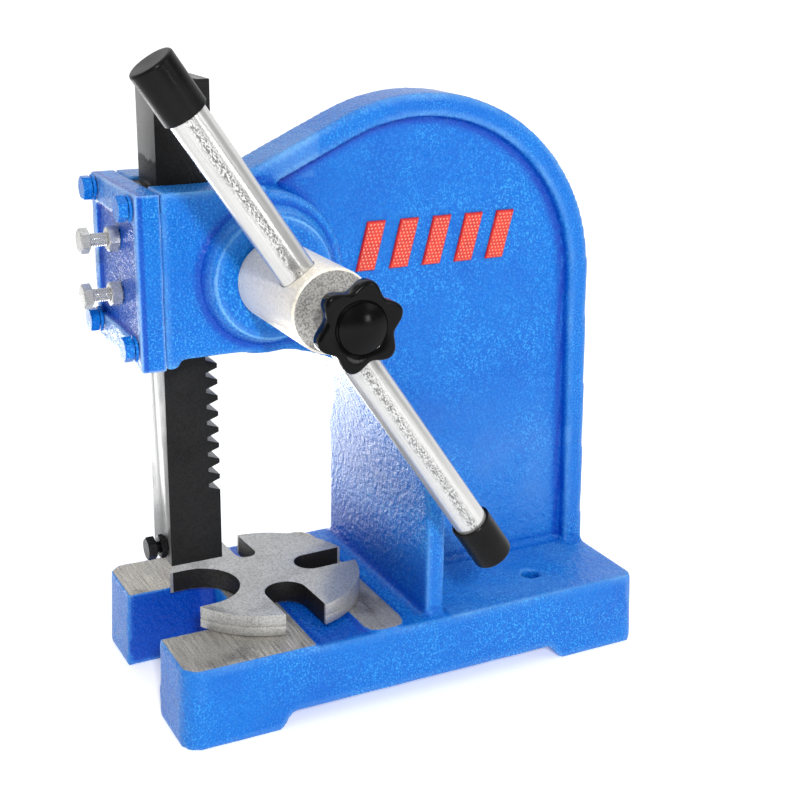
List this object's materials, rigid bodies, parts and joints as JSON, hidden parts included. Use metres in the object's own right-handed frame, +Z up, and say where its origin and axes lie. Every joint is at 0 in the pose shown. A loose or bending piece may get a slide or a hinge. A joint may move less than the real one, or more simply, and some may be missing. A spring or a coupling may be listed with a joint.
{
  "type": "arbor press",
  "caption": "Bench arbor press: cast C-frame with base, toothed ram guided behind a bolted cover, keyed pinion with sliding clamped handle, and a slotted turning table plate.",
  "frame": {"origin": "centre of the rear foot's sole, on the bench", "axes": "+Z up along the ram, +X to the operator's right towards the hub, +Y to the back of the press"},
  "size_m": [0.1961, 0.2702, 0.3169],
  "materials": {
    "blue_paint": "glossy enamel over a cast surface",
    "red_paint": "satin paint on raised marks",
    "cast_iron": "ground grey iron",
    "dark_steel": "oiled dark steel",
    "satin_steel": "turned satin steel",
    "bright_steel": "bright zinc plate",
    "black_plastic": "moulded, glossy"
  },
  "bodies": {
    "frame": {"frame_casting": "blue_paint", "mark_stripe_1": "red_paint", "mark_stripe_2": "red_paint", "mark_stripe_3": "red_paint", "mark_stripe_4": "red_paint", "mark_stripe_5": "red_paint", "front_cover": "blue_paint", "cover_washer_top_left": "blue_paint", "cover_washer_top_right": "blue_paint", "cover_washer_bottom_left": "blue_paint", "cover_washer_bottom_right": "blue_paint", "cover_bolt_top_left": "blue_paint", "cover_bolt_top_right": "blue_paint", "cover_bolt_bottom_left": "blue_paint", "cover_bolt_bottom_right": "blue_paint", "gib_strip": "satin_steel", "adjuster_nut_upper": "bright_steel", "adjuster_nut_lower": "bright_steel", "gib_adjuster_upper": "bright_steel", "gib_adjuster_lower": "bright_steel", "table_pivot_pin": "satin_steel"},
    "ram": {"ram": "dark_steel", "nose_set_nut": "dark_steel", "nose_set_bolt": "dark_steel"},
    "pinion": {"pinion_shaft": "satin_steel", "pinion_gear": "satin_steel", "drive_key": "bright_steel", "shaft_end_washer": "bright_steel", "shaft_end_screw": "bright_steel"},
    "handle": {"handle_bar": "bright_steel", "upper_grip": "black_plastic", "lower_grip": "black_plastic"},
    "clamp_stud": {"clamp_stud": "dark_steel"},
    "clamp_knob": {"clamp_knob": "black_plastic"},
    "table_plate": {"table_plate": "cast_iron"}
  },
  "joints": [
    {"name": "pinion_turn", "type": "hinge", "parent": "frame", "child": "pinion", "pos_m": [0, -0.1721, 0.2133], "axis": [1, 0, 0], "range_deg": [-252, 53.8]},
    {"name": "ram_slide", "type": "slide", "parent": "frame", "child": "ram", "axis": [0, 0, 1], "range_m": [-0.0189, 0.0881]},
    {"name": "handle_slide", "type": "slide", "parent": "pinion", "child": "handle", "axis": [0, 0.565, -0.8251], "range_m": [-0.117, 0.0775]},
    {"name": "clamp_travel", "type": "slide", "parent": "pinion", "child": "clamp_stud", "axis": [1, 0, 0], "range_m": [0, 0.0021]},
    {"name": "clamp_knob_turn", "type": "hinge", "parent": "clamp_stud", "child": "clamp_knob", "pos_m": [0, -0.1721, 0.2133], "axis": [1, 0, 0], "range_deg": [0, 720]},
    {"name": "table_plate_turn", "type": "hinge", "parent": "frame", "child": "table_plate", "pos_m": [0, -0.1624, 0], "axis": [0, 0, 1], "continuous": true}
  ],
  "couplings": [
    {"joint": "ram_slide", "follows": "pinion_turn", "m_per_rad": -0.02},
    {"joint": "clamp_travel", "follows": "clamp_knob_turn", "m_per_rad": 0.00015915}
  ]
}
